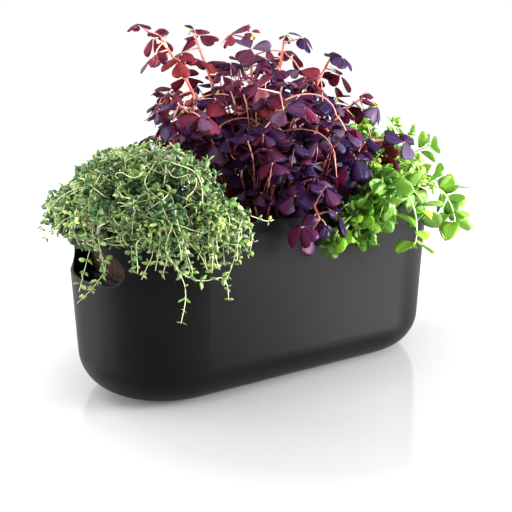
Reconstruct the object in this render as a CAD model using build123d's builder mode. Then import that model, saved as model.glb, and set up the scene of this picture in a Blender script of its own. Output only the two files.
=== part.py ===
from build123d import *
import math
import os

import numpy as np

# Indoor herb planter, in millimetres. The pot stands on z = 0 with its long side along X.

# Outer pot
rim_length = 350
rim_width = 160
pot_height = 150
pot_wall = 3
pot_floor = 3
wall_taper = 2.4
base_radius = 35
rim_round = 1.2

# Hand hole in each end of the pot
hole_width = 100
hole_height = 25.5
hole_drop = 33
hole_round = 0.8

# Insert tray that carries the soil above the water
tray_wall = 2
tray_floor = 2.5
tray_level = 36
tray_depth = 60
tray_gap = 1
tray_half_length = 145
leg_diameter = 10
leg_margin = 3
leg_columns = 4
seat_gap = 0.3

# Wicks and the grommets that hold them
wick_diameter = 8
wick_rise = 40
wick_drop = 3
wick_fit = 0.2
grommet_wall = 2
grommet_flange = 2.5
grommet_lip = 1.5
grommet_fit = 0.15

# Root balls
soil_level = 132
soil_gap = 1
root_split = 54
root_round = 4
bore_gap = 0.8

# Room kept round the foliage
leaf_gap = 5
wall_gap = 4
lift_gap = 2

# Crown of each herb: its stems rise at a share of their reach, up to a limit each way
plant_pitch = 101
crown_share = 0.42
crown_limit_x = 34
crown_limit_y = 54

# Stems and leaves of every herb
stem_sides = 6
bare_steps = 4
last_leaf = 0.97
leaf_thickness = 1
leaf_corners = 8
leaf_tilt = 25
leaf_turn = 85
leaf_swings = (0, 35, -35, 70, -70)

# Thyme, with small leaves in crossed pairs
thyme_stem = 2.2
thyme_leaf_length = 13
thyme_leaf_width = 8
thyme_leaf_pairs = 9
thyme_first_leaf = 0.3

# Oregano, with round leaves in crossed pairs
oregano_stem = 2.4
oregano_leaf_length = 22
oregano_leaf_width = 17
oregano_leaf_pairs = 6
oregano_first_leaf = 0.42

# Oxalis, with heart-shaped leaflets round the end of each petiole
oxalis_stem = 3.2
oxalis_leaves = 11
oxalis_first_leaf = 0.34
oxalis_petiole = 1.6
oxalis_petiole_length = 20
oxalis_leaflets = 3
oxalis_leaflet_length = 19
oxalis_leaflet_width = 19
oxalis_leaflet_shape = ((-0.06, 0.06), (0.5, 0.4), (0.82, 0.5), (1, 0.3))
oxalis_leaflet_notch = 0.82

# Tip of each shoot
oxalis_tips = [
    (-84, 14, 286),
    (-40, 38, 288),
    (-14, -8, 288),
    (43, 24, 286),
    (72, -5, 269),
    (94, -24, 236),
    (102, -60, 202),
    (-92, -26, 238),
    (-24, -67, 247),
    (50, -72, 192),
    (-14, -108, 152),
    (30, 88, 246),
    (-50, 84, 238),
    (-8, 104, 184),
]
thyme_tips = [
    (-114, 8, 214),
    (-70, 36, 190),
    (-72, -28, 188),
    (-136, 36, 200),
    (-142, -26, 204),
    (-98, 68, 192),
    (-100, -58, 196),
    (-182, 10, 168),
    (-164, 58, 162),
    (-180, -40, 172),
    (-168, -82, 164),
    (-128, -108, 160),
    (-82, -102, 160),
    (-102, 108, 160),
    (-148, 98, 158),
    (-152, -102, 90),
    (-90, -110, 98),
    (-112, -108, 122),
    (-58, -110, 130),
]
oregano_tips = [
    (117, 7, 217),
    (139, -32, 198),
    (173, -34, 189),
    (178, -66, 142),
    (154, -84, 122),
    (136, 48, 196),
    (59, -115, 144),
    (104, -105, 141),
    (82, -114, 118),
    (126, -117, 131),
    (150, 66, 186),
    (100, 104, 168),
    (158, 90, 162),
    (176, 14, 172),
    (84, 44, 206),
]

half_length = rim_length / 2
half_width = rim_width / 2
end_centre = half_length - half_width
hole_level = pot_height - hole_drop
hole_top = hole_level + hole_height / 2
floor_half_width = half_width - math.tan(math.radians(wall_taper)) * (pot_height - pot_floor) - base_radius
leg_row = floor_half_width - leg_diameter / 2 - leg_margin
leg_pitch = 2 * end_centre / (leg_columns - 1)
tray_top = tray_level + tray_depth
root_bottom = tray_level + tray_floor
tray_inset = pot_wall + tray_gap
root_inset = tray_inset + tray_wall + soil_gap
root_half_length = tray_half_length - tray_wall - soil_gap
wick_places = (-plant_pitch, 0, plant_pitch)
grommet_bore = wick_diameter + 2 * wick_fit
grommet_barrel = grommet_bore + 2 * grommet_wall
grommet_width = grommet_barrel + 2 * grommet_flange
plants = ("thyme", "oxalis", "oregano")


def narrowing(level):
    """How far the pot's side stands in from its rim at a level."""
    return (pot_height - level) * math.tan(math.radians(wall_taper))


def tapered_block(inset, bottom, top):
    """The pot's outline, moved in by an inset, from one level to another."""
    shrink = 2 * (inset + narrowing(bottom))
    with BuildPart() as block:
        with BuildSketch(Plane.XY.offset(bottom)):
            SlotOverall(rim_length - shrink, rim_width - shrink)
        extrude(amount=top - bottom, taper=-wall_taper)
    return block.part


os.makedirs("parts", exist_ok=True)

with BuildPart() as cavity:
    add(tapered_block(pot_wall, pot_floor, pot_height))
    fillet(cavity.faces().sort_by(Axis.Z)[0].edges(), base_radius - pot_wall)

with BuildPart() as outer_pot:
    add(tapered_block(0, 0, pot_height))
    fillet(outer_pot.faces().sort_by(Axis.Z)[0].edges(), base_radius)
    add(cavity.part, mode=Mode.SUBTRACT)
    fillet(outer_pot.edges().group_by(Axis.Z)[-1], rim_round)
    with BuildSketch(Plane.YZ):
        with Locations((0, hole_level)):
            SlotOverall(hole_width, hole_height)
    extrude(amount=half_length, both=True, mode=Mode.SUBTRACT)
    fillet(outer_pot.edges(Select.LAST).filter_by(GeomType.LINE, reverse=True), hole_round)
outer_pot.part.label = "outer_pot"
export_step(outer_pot.part, "parts/outer_pot.step")

with BuildPart() as tray_hollow:
    add(tapered_block(tray_inset + tray_wall, root_bottom, tray_top))
    Box(2 * (tray_half_length - tray_wall), rim_width, 2 * pot_height, mode=Mode.INTERSECT)

with BuildPart() as insert_tray:
    add(tapered_block(tray_inset, tray_level, tray_top))
    Box(2 * tray_half_length, rim_width, 2 * pot_height, mode=Mode.INTERSECT)
    add(tray_hollow.part, mode=Mode.SUBTRACT)
    with BuildSketch(Plane.XY.offset(tray_level)):
        with GridLocations(leg_pitch, 2 * leg_row, leg_columns, 2):
            Circle(leg_diameter / 2)
    extrude(amount=pot_floor + seat_gap - tray_level)
    with BuildSketch(Plane.XY.offset(tray_level)):
        with Locations(*[(x, 0) for x in wick_places]):
            Circle(grommet_barrel / 2 + grommet_fit)
    extrude(amount=tray_floor, mode=Mode.SUBTRACT)
insert_tray.part.label = "insert_tray"
export_step(insert_tray.part, "parts/insert_tray.step")

for plant, wick_x in zip(plants, wick_places):
    with BuildPart() as grommet:
        with BuildSketch(Plane.XY.offset(tray_level - grommet_lip - grommet_fit)):
            with Locations((wick_x, 0)):
                Circle(grommet_width / 2)
        extrude(amount=grommet_lip)
        with BuildSketch(Plane.XY.offset(root_bottom + grommet_fit)):
            with Locations((wick_x, 0)):
                Circle(grommet_width / 2)
        extrude(amount=grommet_lip)
        with BuildSketch(Plane.XY.offset(tray_level - grommet_lip)):
            with Locations((wick_x, 0)):
                Circle(grommet_barrel / 2)
        extrude(amount=tray_floor + 2 * grommet_lip)
        with BuildSketch(Plane.XY):
            with Locations((wick_x, 0)):
                Circle(grommet_bore / 2)
        extrude(amount=pot_height, mode=Mode.SUBTRACT)
    grommet.part.label = f"{plant}_wick_grommet"
    export_step(grommet.part, f"parts/{plant}_wick_grommet.step")

    with BuildPart() as wick:
        with BuildSketch(Plane.XY.offset(pot_floor + wick_drop)):
            with Locations((wick_x, 0)):
                Circle(wick_diameter / 2)
        extrude(amount=root_bottom + wick_rise - pot_floor - wick_drop)
    wick.part.label = f"{plant}_wick"
    export_step(wick.part, f"parts/{plant}_wick.step")

root_spans = (
    (-root_half_length, -root_split - soil_gap / 2),
    (-root_split + soil_gap / 2, root_split - soil_gap / 2),
    (root_split + soil_gap / 2, root_half_length),
)
for plant, wick_x, (start, end) in zip(plants, wick_places, root_spans):
    with BuildPart() as root_ball:
        add(tapered_block(root_inset, root_bottom + seat_gap, soil_level))
        with Locations(((start + end) / 2, 0, 0)):
            Box(end - start, rim_width, 2 * pot_height, mode=Mode.INTERSECT)
        fillet(root_ball.edges().group_by(Axis.Z)[-1], root_round)
        with BuildSketch(Plane.XY.offset(root_bottom)):
            with Locations((wick_x, 0)):
                Circle(wick_diameter / 2 + bore_gap)
        extrude(amount=wick_rise + bore_gap, mode=Mode.SUBTRACT)
        with BuildSketch(Plane.XY.offset(root_bottom)):
            with Locations((wick_x, 0)):
                Circle(grommet_width / 2 + bore_gap)
        extrude(amount=grommet_lip + grommet_fit + bore_gap, mode=Mode.SUBTRACT)
    root_ball.part.label = f"{plant}_root_ball"
    export_step(root_ball.part, f"parts/{plant}_root_ball.step")


# Points on the foliage placed so far, by shoot
foliage = {}
stem_spread = 60
spread_rows = 6
spread_columns = 6


def stem_arc(plant, tip):
    """Path of a stem that rises straight out of the soil and arches over to its tip."""
    crown = wick_places[plants.index(plant)]
    out = max(-crown_limit_x, min(crown_limit_x, crown_share * (tip[0] - crown)))
    across = max(-crown_limit_y, min(crown_limit_y, crown_share * tip[1]))
    return Edge.make_tangent_arc(Vector(crown + out, across, soil_level), Vector(0, 0, 1), Vector(*tip))


def leaf_shares(count, first):
    """Places of leaves along a stem, as shares of its length from the tip down."""
    return [last_leaf - (last_leaf - first) * number / (count - 1) for number in range(count)]


def stem_points(stem, count, first):
    """Corners of a stem, with one at each leaf."""
    bare = [first * step / bare_steps for step in range(bare_steps)]
    return [stem @ share for share in bare + leaf_shares(count, first)[::-1] + [1]]


def leaf_plane(stem, share, turn):
    """Plane of a leaf on a stem, with X along the leaf and Z out of its upper face."""
    along = stem % share
    side = along.cross(Vector(0, 0, 1)).normalized().rotate(Axis((0, 0, 0), along), turn)
    tilt = math.radians(leaf_tilt)
    reach = side * math.cos(tilt) + along * math.sin(tilt)
    face = along * math.cos(tilt) - side * math.sin(tilt)
    return Plane(origin=stem @ share, x_dir=reach, z_dir=face)


def leaf_choices(stem, count, first, turns):
    """For each leaf along a stem, the planes that it may take."""
    choices = []
    for number, share in enumerate(leaf_shares(count, first)):
        for turn in turns:
            angles = [turn + leaf_turn * number + swing for swing in leaf_swings]
            choices.append([leaf_plane(stem, share, angle) for angle in angles])
    return choices


def umbrella_plane(petiole):
    """Plane of a leaf held on the end of a petiole, facing half up and half along it."""
    centre = petiole.origin + petiole.x_dir * oxalis_petiole_length
    return Plane(origin=centre, x_dir=petiole.y_dir, z_dir=petiole.x_dir + Vector(0, 0, 1))


def spread(plane, length, width):
    """Points spread over a leaf that runs along the X of its plane."""
    rows = length * np.arange(1, spread_rows + 1) / spread_rows
    columns = width * (np.arange(spread_columns + 1) / spread_columns - 0.5)
    x, y = (grid.ravel() for grid in np.meshgrid(rows, columns))
    return np.array(tuple(plane.origin)) + np.outer(x, tuple(plane.x_dir)) + np.outer(y, tuple(plane.y_dir))


def trefoil_spread(petiole):
    """Points spread over a petiole and the leaflets on its end."""
    leaf = umbrella_plane(petiole)
    points = [spread(petiole, oxalis_petiole_length, oxalis_petiole)]
    for number in range(oxalis_leaflets):
        out = leaf.x_dir.rotate(Axis((0, 0, 0), leaf.z_dir), 360 / oxalis_leaflets * number)
        leaflet = Plane(origin=leaf.origin, x_dir=out, z_dir=leaf.z_dir)
        points.append(spread(leaflet, oxalis_leaflet_length, oxalis_leaflet_width))
    return np.vstack(points)


def stands_clear(points, plant, shoot):
    """Whether points of a leaf keep clear of the pot, the soil, the lifting paths and the other shoots."""
    x, y, z = points.T
    plan = np.hypot(np.maximum(np.abs(x) - end_centre, 0), y)
    outside = plan > half_width + wall_gap
    inside = plan < half_width - pot_wall - narrowing(soil_level) - wall_gap
    over_soil = inside & (z > soil_level + wall_gap)
    if not np.all(outside | over_soil | (z > pot_height + wall_gap)):
        return False
    if np.any((np.abs(y) < hole_width / 2) & (np.abs(x) > end_centre) & (z < hole_top + wall_gap)):
        return False
    if plant != "oxalis" and not np.all(outside | (np.abs(x) > root_split + lift_gap)):
        return False
    for other, others in foliage.items():
        beside = np.maximum(points.min(axis=0) - others.max(axis=0), others.min(axis=0) - points.max(axis=0))
        if np.any(beside[:2] > leaf_gap):
            continue
        apart = points[:, None, :] - others[None, :, :]
        if other != shoot and np.min(np.linalg.norm(apart, axis=2)) < leaf_gap:
            return False
        lifts = plant == "oxalis"
        in_line = np.linalg.norm(apart[:, :, :2], axis=2) < leaf_gap
        under = apart[:, :, 2] < 0 if lifts else apart[:, :, 2] > 0
        if lifts != other.startswith("oxalis") and np.any(in_line & under):
            return False
    return True


def grow(plant, shoot, choices, points_on):
    """The leaf planes of a shoot: of each leaf's choices, the first one that stands clear."""
    kept = []
    for planes in choices:
        for plane in planes:
            points = points_on(plane)
            if stands_clear(points, plant, shoot):
                foliage[shoot] = np.vstack([foliage[shoot], points])
                kept.append(plane)
                break
    return kept


stems = {}
for plant, tips in (("oxalis", oxalis_tips), ("thyme", thyme_tips), ("oregano", oregano_tips)):
    for number, tip in enumerate(tips, start=1):
        name = f"{plant}_shoot_{number:02d}"
        stems[name] = stem_arc(plant, tip)
        shares = [step / stem_spread for step in range(stem_spread + 1)]
        foliage[name] = np.array([tuple(stems[name] @ share) for share in shares])

leaflet_side = [(u * oxalis_leaflet_length, v * oxalis_leaflet_width) for u, v in oxalis_leaflet_shape]
leaflet_notch = (oxalis_leaflet_notch * oxalis_leaflet_length, 0)
leaflet_outline = [(u, -v) for u, v in leaflet_side] + [leaflet_notch] + leaflet_side[::-1]
for number in range(1, len(oxalis_tips) + 1):
    name = f"oxalis_shoot_{number:02d}"
    stem = stems[name]
    petioles = grow("oxalis", name, leaf_choices(stem, oxalis_leaves, oxalis_first_leaf, (0,)), trefoil_spread)
    with BuildPart() as oxalis_shoot:
        with BuildLine():
            Polyline(*stem_points(stem, oxalis_leaves, oxalis_first_leaf))
        with BuildSketch(Plane.XY.offset(soil_level)):
            with Locations(tuple(stem @ 0)[:2]):
                RegularPolygon(oxalis_stem / 2, stem_sides)
        sweep(transition=Transition.RIGHT)
        with BuildSketch(*[Plane(origin=petiole.origin, z_dir=petiole.x_dir) for petiole in petioles]):
            RegularPolygon(oxalis_petiole / 2, stem_sides)
        extrude(amount=oxalis_petiole_length)
        with BuildSketch(*[umbrella_plane(petiole) for petiole in petioles]):
            with PolarLocations(0, oxalis_leaflets):
                Polygon(*leaflet_outline, align=None)
        extrude(amount=leaf_thickness / 2, both=True)
    oxalis_shoot.part.label = name
    export_step(oxalis_shoot.part, f"parts/{name}.step")


def paired_shoots(plant, tips, stem_diameter, length, width, pairs, first):
    """Make the shoots of a herb with oval leaves in pairs."""
    corners = [math.pi * (2 * corner + 1) / leaf_corners for corner in range(leaf_corners)]
    half = length / 2
    flat = math.cos(math.pi / leaf_corners)
    outline = [(half - half * math.cos(angle) / flat, width / 2 * math.sin(angle)) for angle in corners]
    for number in range(1, len(tips) + 1):
        name = f"{plant}_shoot_{number:02d}"
        stem = stems[name]
        choices = leaf_choices(stem, pairs, first, (0, 180))
        leaves = grow(plant, name, choices, lambda plane: spread(plane, length, width))
        with BuildPart() as shoot:
            with BuildLine():
                Polyline(*stem_points(stem, pairs, first))
            with BuildSketch(Plane.XY.offset(soil_level)):
                with Locations(tuple(stem @ 0)[:2]):
                    RegularPolygon(stem_diameter / 2, stem_sides)
            sweep(transition=Transition.RIGHT)
            with BuildSketch(*leaves):
                with Locations((stem_diameter / 4, 0)):
                    Polygon(*outline, align=None)
            extrude(amount=leaf_thickness / 2, both=True)
        shoot.part.label = name
        export_step(shoot.part, f"parts/{name}.step")


paired_shoots(
    "thyme", thyme_tips, thyme_stem, thyme_leaf_length, thyme_leaf_width, thyme_leaf_pairs, thyme_first_leaf
)
paired_shoots(
    "oregano",
    oregano_tips,
    oregano_stem,
    oregano_leaf_length,
    oregano_leaf_width,
    oregano_leaf_pairs,
    oregano_first_leaf,
)
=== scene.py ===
from math import atan2, cos, pi, radians, sin, sqrt, tan

import bpy
import numpy as np
from mathutils import Matrix, Vector, noise
from numpy.linalg import norm


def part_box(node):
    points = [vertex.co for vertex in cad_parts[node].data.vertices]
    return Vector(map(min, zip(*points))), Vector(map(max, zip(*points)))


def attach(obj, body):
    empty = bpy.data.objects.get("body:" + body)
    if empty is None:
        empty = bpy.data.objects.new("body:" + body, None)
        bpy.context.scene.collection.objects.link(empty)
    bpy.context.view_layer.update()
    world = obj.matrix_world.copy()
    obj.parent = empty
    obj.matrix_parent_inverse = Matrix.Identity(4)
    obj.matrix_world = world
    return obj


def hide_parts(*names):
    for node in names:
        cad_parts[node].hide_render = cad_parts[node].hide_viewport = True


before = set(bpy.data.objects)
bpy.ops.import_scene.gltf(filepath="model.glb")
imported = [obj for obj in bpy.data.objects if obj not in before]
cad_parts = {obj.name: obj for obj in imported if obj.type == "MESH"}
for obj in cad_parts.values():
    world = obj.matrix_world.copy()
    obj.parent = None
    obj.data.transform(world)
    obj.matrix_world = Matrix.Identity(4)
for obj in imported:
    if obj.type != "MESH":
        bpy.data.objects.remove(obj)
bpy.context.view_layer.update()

MM = 0.001
UP = np.array([0, 0, 1.0])
FULL_TURN = 2 * pi

# Camera, in metres
CAMERA_PLACE = (-0.4067, -0.6182, 0.2844)
CAMERA_LOOK = (0.5305, 0.8117, -0.2445)
CAMERA_LENS = 59.13
CAMERA_SENSOR = 36

# Pot, in millimetres, read from the frame where a node gives it
POT_HIGH = np.array(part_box("outer_pot")[1]) / MM
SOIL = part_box("thyme_root_ball")[1][2] / MM
RIM = POT_HIGH[2]
HALF_WIDTH = POT_HIGH[1]
END_CENTRE = POT_HIGH[0] - POT_HIGH[1]
POT_WALL = 3.0
WALL_TAPER = tan(radians(2.4))
SOIL_HALF_WIDTH = HALF_WIDTH - POT_WALL - (RIM - SOIL) * WALL_TAPER
CROWNS = {
    herb: np.array([np.mean([corner[0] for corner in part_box(f"{herb}_wick")]) / MM, 0, SOIL])
    for herb in ("thyme", "oxalis", "oregano")
}
SHOOTS = {herb: [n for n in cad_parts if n.startswith(f"{herb}_shoot")] for herb in CROWNS}
BODIES = {"thyme": "insert", "oxalis": "oxalis", "oregano": "insert"}


# Materials

WHITE = (1, 1, 1)
BLACK = (0, 0, 0)


class Skin:
    """A material with a Principled shader, and short ways to add and link its nodes."""

    def __init__(self, name):
        self.material = bpy.data.materials.new(name)
        self.material.use_nodes = True
        self.tree = self.material.node_tree
        self.shader = self.tree.nodes["Principled BSDF"]

    def feed(self, node, sockets):
        """Link other nodes' outputs to a node's sockets, or set the sockets to constants."""
        for socket, value in sockets.items():
            if isinstance(value, bpy.types.NodeSocket):
                self.tree.links.new(value, node.inputs[socket])
            else:
                node.inputs[socket].default_value = value

    def shade(self, sockets):
        self.feed(self.shader, sockets)

    def add(self, kind, sockets, **settings):
        """The outputs of a new node."""
        node = self.tree.nodes.new(f"ShaderNode{kind}")
        for key, value in settings.items():
            setattr(node, key, value)
        self.feed(node, sockets)
        return node.outputs

    def ramp(self, value, stops):
        node = self.tree.nodes.new("ShaderNodeValToRGB")
        elements = node.color_ramp.elements
        while len(elements) < len(stops):
            elements.new(0.5)
        for element, (place, colour) in zip(elements, stops):
            element.position = place
            element.color = (*colour, 1)
        self.feed(node, {"Fac": value})
        return node.outputs["Color"]

    def noise(self, scale, detail, roughness=0.55):
        """Noise in the object's own coordinates."""
        place = self.add("TexCoord", {})["Object"]
        sockets = {"Scale": scale, "Detail": detail, "Roughness": roughness, "Vector": place}
        return self.add("TexNoise", sockets)["Fac"]

    def math(self, operation, *values):
        return self.add("Math", dict(enumerate(values)), operation=operation)["Value"]

    def mix(self, share, first, second, blend="MIX"):
        sockets = {"Factor": share, "A": first, "B": second}
        return self.add("Mix", sockets, data_type="RGBA", blend_type=blend)["Result"]

    def marks(self):
        """What the mesh says of each point: its tone, how far it is on the upper side, and its bloom,
        which on the oxalis is a painted sheen.
        """
        mark = self.add("Attribute", {}, attribute_name="leaf")
        return self.add("SeparateColor", {"Color": mark["Color"]})

    def patchy(self, tone, patches, amount):
        """A tone that the patches change by up to half the amount either way."""
        return self.math("SUBTRACT", self.math("MULTIPLY_ADD", patches, amount, tone), amount / 2)

    def bump(self, height, strength, distance):
        node = self.add("Bump", {"Strength": strength, "Distance": distance, "Height": height})
        self.shade({"Normal": node["Normal"]})


def moulded_plastic(name, dark, light, roughness, grain, gleam):
    """Matte moulded plastic: fine grain, and faint cloudy changes of colour and gloss."""
    skin = Skin(name)
    cloud = skin.noise(scale=14, detail=3)
    gloss = skin.add("MapRange", {"To Min": roughness[0], "To Max": roughness[1], "Value": cloud})
    colour = skin.ramp(cloud, [(0.3, dark), (0.7, light)])
    skin.shade({"Base Color": colour, "Roughness": gloss["Result"], "Specular IOR Level": gleam})
    skin.bump(skin.noise(scale=grain, detail=2, roughness=0.5), strength=0.12, distance=0.0002)
    return skin.material


def grainy(name, scale, detail, colours, roughness, bump):
    """A rough material whose grain gives it its colours and its relief."""
    skin = Skin(name)
    grain = skin.noise(scale, detail, roughness=0.7)
    skin.shade({"Base Color": skin.ramp(grain, colours), "Roughness": roughness})
    skin.bump(grain, *bump)
    return skin


# Veins, as shares of a leaf's length and width
RIB_WIDTH = 0.05
VEIN_SLANT = 0.9
VEIN_SPACING = 0.09
VEIN_WIDTH = 0.022
VEIN_STRENGTH = (0.55, 0.55, 0.55)
UNDER_SHARE = 0.75
THROUGH_TINT = 0.6


def leaf_material(
    name, tones, bloom_and_sheen, under, vein, vein_share, vein_height, through, through_share, roughness, gleam
):
    """Leaf skin: a tone and a bloom for each leaf, veins, a paler underside, and light shining through.
    The bloom is the leaf's own colour on thyme and oregano, and a painted lilac sheen on the oxalis.
    """
    skin = Skin(name)
    marks = skin.marks()
    patches = skin.noise(scale=160, detail=3)
    colour = skin.ramp(skin.patchy(marks["Red"], patches, 0.4), tones)
    # Some leaves take a bloom colour: their own on thyme and oregano, a painted lilac sheen on the oxalis
    bloom_and_sheen_colour, bloom_and_sheen_start, bloom_and_sheen_share = bloom_and_sheen
    bloom_and_sheen_mask = skin.ramp(marks["Blue"], [(bloom_and_sheen_start, BLACK), (1.0, (bloom_and_sheen_share,) * 3)])
    colour = skin.mix(bloom_and_sheen_mask, colour, (*bloom_and_sheen_colour, 1))

    place = skin.add("SeparateXYZ", {"Vector": skin.add("UVMap", {}, uv_map="leaf_map")["UV"]})
    aside = skin.math("ABSOLUTE", skin.math("SUBTRACT", place["Y"], 0.5))
    rib = skin.ramp(aside, [(0.0, WHITE), (RIB_WIDTH, BLACK)])
    slant = skin.math("MULTIPLY_ADD", aside, -VEIN_SLANT, place["X"])
    nearest = skin.math("PINGPONG", slant, VEIN_SPACING)
    side_veins = skin.ramp(nearest, [(0.0, VEIN_STRENGTH), (VEIN_WIDTH, BLACK)])
    veins = skin.mix(1, rib, side_veins, "LIGHTEN")
    colour = skin.mix(skin.math("MULTIPLY", veins, vein_share), colour, (*vein, 1))

    below = skin.ramp(marks["Green"], [(0.2, WHITE), (0.45, BLACK)])
    colour = skin.mix(skin.math("MULTIPLY", below, UNDER_SHARE), colour, (*under, 1))
    skin.shade({"Base Color": colour, "Roughness": roughness, "Specular IOR Level": gleam})
    if vein_height:
        skin.bump(veins, strength=0.5, distance=vein_height)

    glow = skin.add("BsdfTranslucent", {"Color": skin.mix(THROUGH_TINT, colour, (*through, 1))})
    both = skin.add("MixShader", {"Fac": through_share, 1: skin.shader.outputs["BSDF"], 2: glow["BSDF"]})
    skin.feed(skin.tree.nodes["Material Output"], {"Surface": both["Shader"]})
    return skin.material


def stem_material(name, tones, roughness):
    """Stem skin, with a tone for each stem and fine streaks."""
    skin = Skin(name)
    streaks = skin.noise(scale=260, detail=3)
    colour = skin.ramp(skin.patchy(skin.marks()["Red"], streaks, 0.3), tones)
    skin.shade({"Base Color": colour, "Roughness": roughness})
    skin.bump(streaks, strength=0.3, distance=0.0003)
    return skin.material


# Leaves and stems as meshes

# Where a leaf's notch sets in, and how sharp it is
NOTCH_START = 0.7
NOTCH_CURVE = 1.3
# A direction that no stem starts in
SKEW = (0.31, 0.87, 0.39)


def linked(name, data):
    obj = bpy.data.objects.new(name, data)
    bpy.context.scene.collection.objects.link(obj)
    return obj


def aimed(name, data, place, direction):
    """An object that looks in a direction from its place."""
    obj = linked(name, data)
    obj.location = place
    obj.rotation_mode = "QUATERNION"
    obj.rotation_quaternion = Vector(direction).to_track_quat("-Z", "Y")
    return obj


def leaf_template(outline, columns, cup, curl, fold, thickness, notch=0.0):
    """A closed thin leaf of length 1 along X, from pairs of a place along it and the half width there.

    A leaf with a notch ends in the last width, drawn back at the middle. Other leaves end in a point.
    """
    sides = np.linspace(-1, 1, columns)
    points, maps, upper = [], [], []

    def put(along, half, side, lift=0, up=0.5):
        x = along - notch * max(0.0, along - NOTCH_START) * (1 - abs(side)) ** NOTCH_CURVE
        z = cup * side * side * half - curl * x * x + fold * abs(side) * half
        points.append((x, side * half, z + lift))
        maps.append((along, 0.5 + side / 2))
        upper.append(up)
        return len(points) - 1

    base = put(0, 0, 0)
    rows = outline[:-1] if notch else outline
    top, under = [], []
    for along, half in rows:
        left = put(along, half, -1.0)
        right = put(along, half, 1.0)
        inner = [(side, thickness * (1 - abs(side)) / 2) for side in sides[1:-1]]
        above = [put(along, half, side, lift, up=1.0) for side, lift in inner]
        below = [put(along, half, side, -lift, up=0.0) for side, lift in inner]
        top.append([left, *above, right])
        under.append([left, *below, right])
    if notch:
        end = [put(*outline[-1], side) for side in sides]
        top.append(end)
        under.append(end)
    faces = []
    for k in range(columns - 1):
        faces.append((base, top[0][k], top[0][k + 1]))
        faces.append((base, under[0][k + 1], under[0][k]))
        for r in range(len(top) - 1):
            faces.append((top[r][k], top[r + 1][k], top[r + 1][k + 1], top[r][k + 1]))
            faces.append((under[r][k], under[r][k + 1], under[r + 1][k + 1], under[r + 1][k]))
    if not notch:
        tip = put(1, 0, 0)
        for k in range(columns - 1):
            faces.append((top[-1][k], tip, top[-1][k + 1]))
            faces.append((under[-1][k], under[-1][k + 1], tip))
    return np.array(points), faces, np.array(maps), np.array(upper)


class Growth:
    """Leaves or stems of one herb, gathered into one mesh."""

    def __init__(self):
        self.points, self.faces, self.maps, self.marks = [], [], [], []
        self.count = 0

    def add(self, points, faces, maps, marks):
        self.points.append(points)
        self.faces.extend(tuple(i + self.count for i in face) for face in faces)
        self.maps.append(maps)
        self.marks.append(marks)
        self.count += len(points)

    def put(self, template, points, tone, bloom_and_sheen):
        """One leaf of a template, whose points are placed already."""
        _, faces, maps, upper = template
        count = len(upper)
        marks = np.column_stack([np.full(count, tone), upper, np.full(count, bloom_and_sheen), np.ones(count)])
        self.add(points, faces, maps, marks)

    def tube(self, path, radii, sides, tones):
        """A closed tube along a path. Two radii or two tones belong to its ends."""
        path = np.asarray(path, float)
        if len(radii) == 2:
            radii = np.linspace(*radii, len(path))
        tones = np.linspace(*np.broadcast_to(tones, 2), len(path))
        tangents = np.gradient(path, axis=0)
        tangents /= norm(tangents, axis=1)[:, None]
        across = unit(np.cross(tangents[0], SKEW))
        angles = np.arange(sides) * 2 * pi / sides
        rings = []
        for point, tangent, radius in zip(path, tangents, radii):
            across = unit(across - tangent * np.dot(across, tangent))
            other = np.cross(tangent, across)
            circle = np.outer(np.cos(angles), across) + np.outer(np.sin(angles), other)
            rings.append(point + circle * radius)
        points = np.vstack(rings + [path[:1], path[-1:]])
        foot, head = len(points) - 2, len(points) - 1
        last = len(path) - 1
        faces = []
        for r in range(last):
            for k in range(sides):
                n = (k + 1) % sides
                faces.append((r * sides + k, r * sides + n, (r + 1) * sides + n, (r + 1) * sides + k))
        for k in range(sides):
            n = (k + 1) % sides
            faces.append((foot, n, k))
            faces.append((head, last * sides + k, last * sides + n))
        marks = np.tile((0.0, 0.5, 0.5, 1.0), (len(points), 1))
        marks[:, 0] = np.concatenate([np.repeat(tones, sides), tones[[0, -1]]])
        self.add(points, faces, np.zeros((len(points), 2)), marks)

    def build(self, name, material):
        mesh = bpy.data.meshes.new(name)
        mesh.from_pydata((np.vstack(self.points) * MM).tolist(), [], self.faces)
        mesh.polygons.foreach_set("use_smooth", [True] * len(mesh.polygons))
        corners = np.empty(len(mesh.loops), int)
        mesh.loops.foreach_get("vertex_index", corners)
        layer = mesh.uv_layers.new(name="leaf_map")
        layer.data.foreach_set("uv", np.vstack(self.maps)[corners].ravel())
        marks = mesh.attributes.new("leaf", "FLOAT_COLOR", "POINT")
        marks.data.foreach_set("color", np.vstack(self.marks).ravel())
        mesh.materials.append(material)
        mesh.update()
        return linked(name, mesh)


def unit(vector):
    vector = np.asarray(vector, float)
    return vector / max(norm(vector), 1e-9)


def turned(vector, axis, degrees):
    return np.array(Matrix.Rotation(radians(degrees), 3, Vector(axis)) @ Vector(vector))


def bezier(points, steps):
    """A smooth path through the hull of its points."""
    t = np.linspace(0, 1, steps)[:, None]
    points = [np.asarray(p, float) + 0 * t for p in points]
    while len(points) > 1:
        points = [a + (b - a) * t for a, b in zip(points, points[1:])]
    return points[0]


def smooth_path(points, steps):
    """A smooth path that passes through its points."""
    points = np.asarray(points, float)
    spread = np.concatenate([[0], np.cumsum(norm(np.diff(points, axis=0), axis=1))])
    tangents = np.gradient(points, spread, axis=0)
    s = np.linspace(0, spread[-1], steps)
    k = np.minimum(np.searchsorted(spread, s, "right") - 1, len(points) - 2)
    h = (spread[k + 1] - spread[k])[:, None]
    t = (s - spread[k])[:, None] / h
    return (
        (2 * t**3 - 3 * t**2 + 1) * points[k]
        + (t**3 - 2 * t**2 + t) * h * tangents[k]
        + (3 * t**2 - 2 * t**3) * points[k + 1]
        + (t**3 - t**2) * h * tangents[k + 1]
    )


# Bends in a stem's whole length, and how early they set in
BEND_WAVES = (1.1, 2.3)
BEND_ONSET = 0.7


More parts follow.
